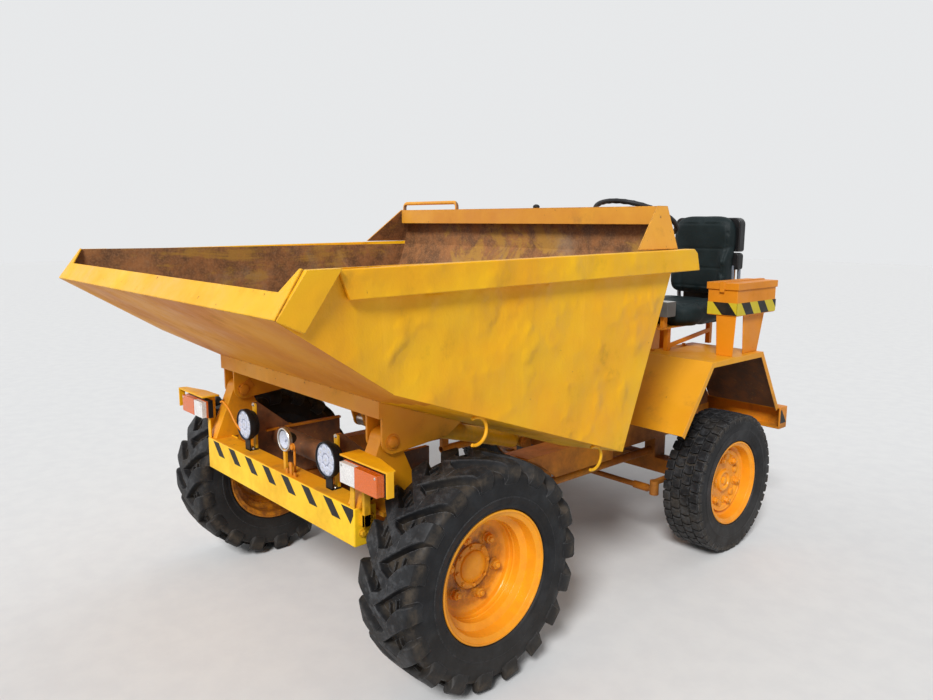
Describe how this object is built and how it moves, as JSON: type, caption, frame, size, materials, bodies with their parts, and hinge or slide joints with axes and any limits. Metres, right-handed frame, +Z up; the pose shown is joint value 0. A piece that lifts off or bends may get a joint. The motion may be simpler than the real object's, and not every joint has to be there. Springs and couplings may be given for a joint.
{
  "type": "site dumper",
  "caption": "Rigid site dumper with a front tipping skip, large lugged front drive wheels, steered rear wheels and an open driver's seat.",
  "frame": {"origin": "middle of the overall length and width, on the ground", "axes": "+Z up, -Y towards the skip's lip at the front, +X to the machine's left"},
  "size_m": [1.8, 2.8858, 1.6253],
  "materials": {
    "yellow_paint": "satin",
    "orange_paint": "satin",
    "rim_orange": "satin",
    "worn_brown": "matte",
    "lamp_black": "matte",
    "signal_amber": "gloss",
    "bright_steel": "polished",
    "cast_grey": "matte",
    "seat_vinyl": "satin",
    "wheel_plastic": "satin",
    "tyre_black": "matte"
  },
  "bodies": {
    "chassis": {"bonnet_sides": "yellow_paint", "chassis_frame": "orange_paint", "control_levers": "bright_steel", "cross_tube": "worn_brown", "deck_plate": "orange_paint", "engine_block": "cast_grey", "front_axle": "worn_brown", "front_bumper": "yellow_paint", "front_lamps": "lamp_black", "mudguard_left": "yellow_paint", "mudguard_right": "yellow_paint", "pivot_brackets": "yellow_paint", "propshaft": "worn_brown", "rear_axle": "orange_paint", "rear_beam": "yellow_paint", "seat_back": "seat_vinyl", "seat_cushion": "seat_vinyl", "seat_stand": "orange_paint", "signal_guards": "yellow_paint", "signal_lamps": "signal_amber", "steering_column": "lamp_black", "tail_lamps": "signal_amber", "toolbox": "orange_paint", "transmission": "cast_grey"},
    "skip": {"skip_tub": "yellow_paint", "skip_lip": "yellow_paint", "skip_side_rims": "yellow_paint", "skip_rear_rim": "yellow_paint", "skip_clevises": "orange_paint", "skip_hooks": "yellow_paint", "pivot_pins": "orange_paint"},
    "ram_barrel": {"tip_barrel": "yellow_paint"},
    "ram_rod": {"tip_rod": "bright_steel"},
    "front_wheel_left": {"front_rim_left": "rim_orange", "front_tyre_left": "tyre_black"},
    "front_wheel_right": {"front_rim_right": "rim_orange", "front_tyre_right": "tyre_black"},
    "rear_wheel_left": {"rear_rim_left": "rim_orange", "rear_tyre_left": "tyre_black"},
    "rear_wheel_right": {"rear_rim_right": "rim_orange", "rear_tyre_right": "tyre_black"},
    "steer_left": {"knuckle_left": "orange_paint"},
    "steer_right": {"knuckle_right": "orange_paint"},
    "steer_tie_rod": {"tie_rod": "orange_paint"},
    "hand_wheel": {"steering_wheel": "wheel_plastic"},
    "bonnet_door": {"bonnet_lid": "yellow_paint"},
    "toolbox_door": {"toolbox_lid": "orange_paint"}
  },
  "joints": [
    {"name": "skip_tip", "type": "hinge", "parent": "chassis", "child": "skip", "pos_m": [0, -0.87208, 0.82], "axis": [1, 0, 0], "range_deg": [0, 60]},
    {"name": "ram_swing", "type": "hinge", "parent": "chassis", "child": "ram_barrel", "pos_m": [0, 0.29792, 0.48], "axis": [1, 0, 0], "range_deg": [-20, 5]},
    {"name": "ram_slide", "type": "slide", "parent": "ram_barrel", "child": "ram_rod", "axis": [0, -0.9609, 0.2769], "range_m": [0, 0.1973]},
    {"name": "front_left_spin", "type": "hinge", "parent": "chassis", "child": "front_wheel_left", "pos_m": [0.727, -0.66208, 0.3865], "axis": [1, 0, 0], "continuous": true},
    {"name": "front_right_spin", "type": "hinge", "parent": "chassis", "child": "front_wheel_right", "pos_m": [-0.727, -0.66208, 0.3865], "axis": [1, 0, 0], "continuous": true},
    {"name": "steer_left_turn", "type": "hinge", "parent": "chassis", "child": "steer_left", "pos_m": [0.54, 0.92792, 0.325], "axis": [0, 0, 1], "range_deg": [-30, 30]},
    {"name": "steer_right_turn", "type": "hinge", "parent": "chassis", "child": "steer_right", "pos_m": [-0.54, 0.92792, 0.325], "axis": [0, 0, 1], "range_deg": [-30, 30]},
    {"name": "tie_rod_turn", "type": "hinge", "parent": "steer_left", "child": "steer_tie_rod", "pos_m": [0.54, 0.64792, 0.294], "axis": [0, 0, 1], "range_deg": [-30, 30]},
    {"name": "rear_left_spin", "type": "hinge", "parent": "steer_left", "child": "rear_wheel_left", "pos_m": [0.702, 0.92792, 0.325], "axis": [1, 0, 0], "continuous": true},
    {"name": "rear_right_spin", "type": "hinge", "parent": "steer_right", "child": "rear_wheel_right", "pos_m": [-0.702, 0.92792, 0.325], "axis": [1, 0, 0], "continuous": true},
    {"name": "hand_wheel_turn", "type": "hinge", "parent": "chassis", "child": "hand_wheel", "pos_m": [0.335, 0.70292, 1.535], "axis": [0, 0.4067, 0.9135], "range_deg": [-360, 360]},
    {"name": "bonnet_open", "type": "hinge", "parent": "chassis", "child": "bonnet_door", "pos_m": [-0.365, 0.97492, 1.0303], "axis": [0, -1, 0], "range_deg": [0, 70]},
    {"name": "toolbox_open", "type": "hinge", "parent": "chassis", "child": "toolbox_door", "pos_m": [0.599, 1.08792, 1.2183], "axis": [0, -1, 0], "range_deg": [0, 95]}
  ],
  "couplings": [
    {"joint": "ram_swing", "follows": "skip_tip", "ratio": -0.22728},
    {"joint": "ram_slide", "follows": "skip_tip", "m_per_rad": 0.16927},
    {"joint": "steer_right_turn", "follows": "steer_left_turn", "ratio": 1},
    {"joint": "tie_rod_turn", "follows": "steer_left_turn", "ratio": -1},
    {"joint": "hand_wheel_turn", "follows": "steer_left_turn", "ratio": 12}
  ]
}
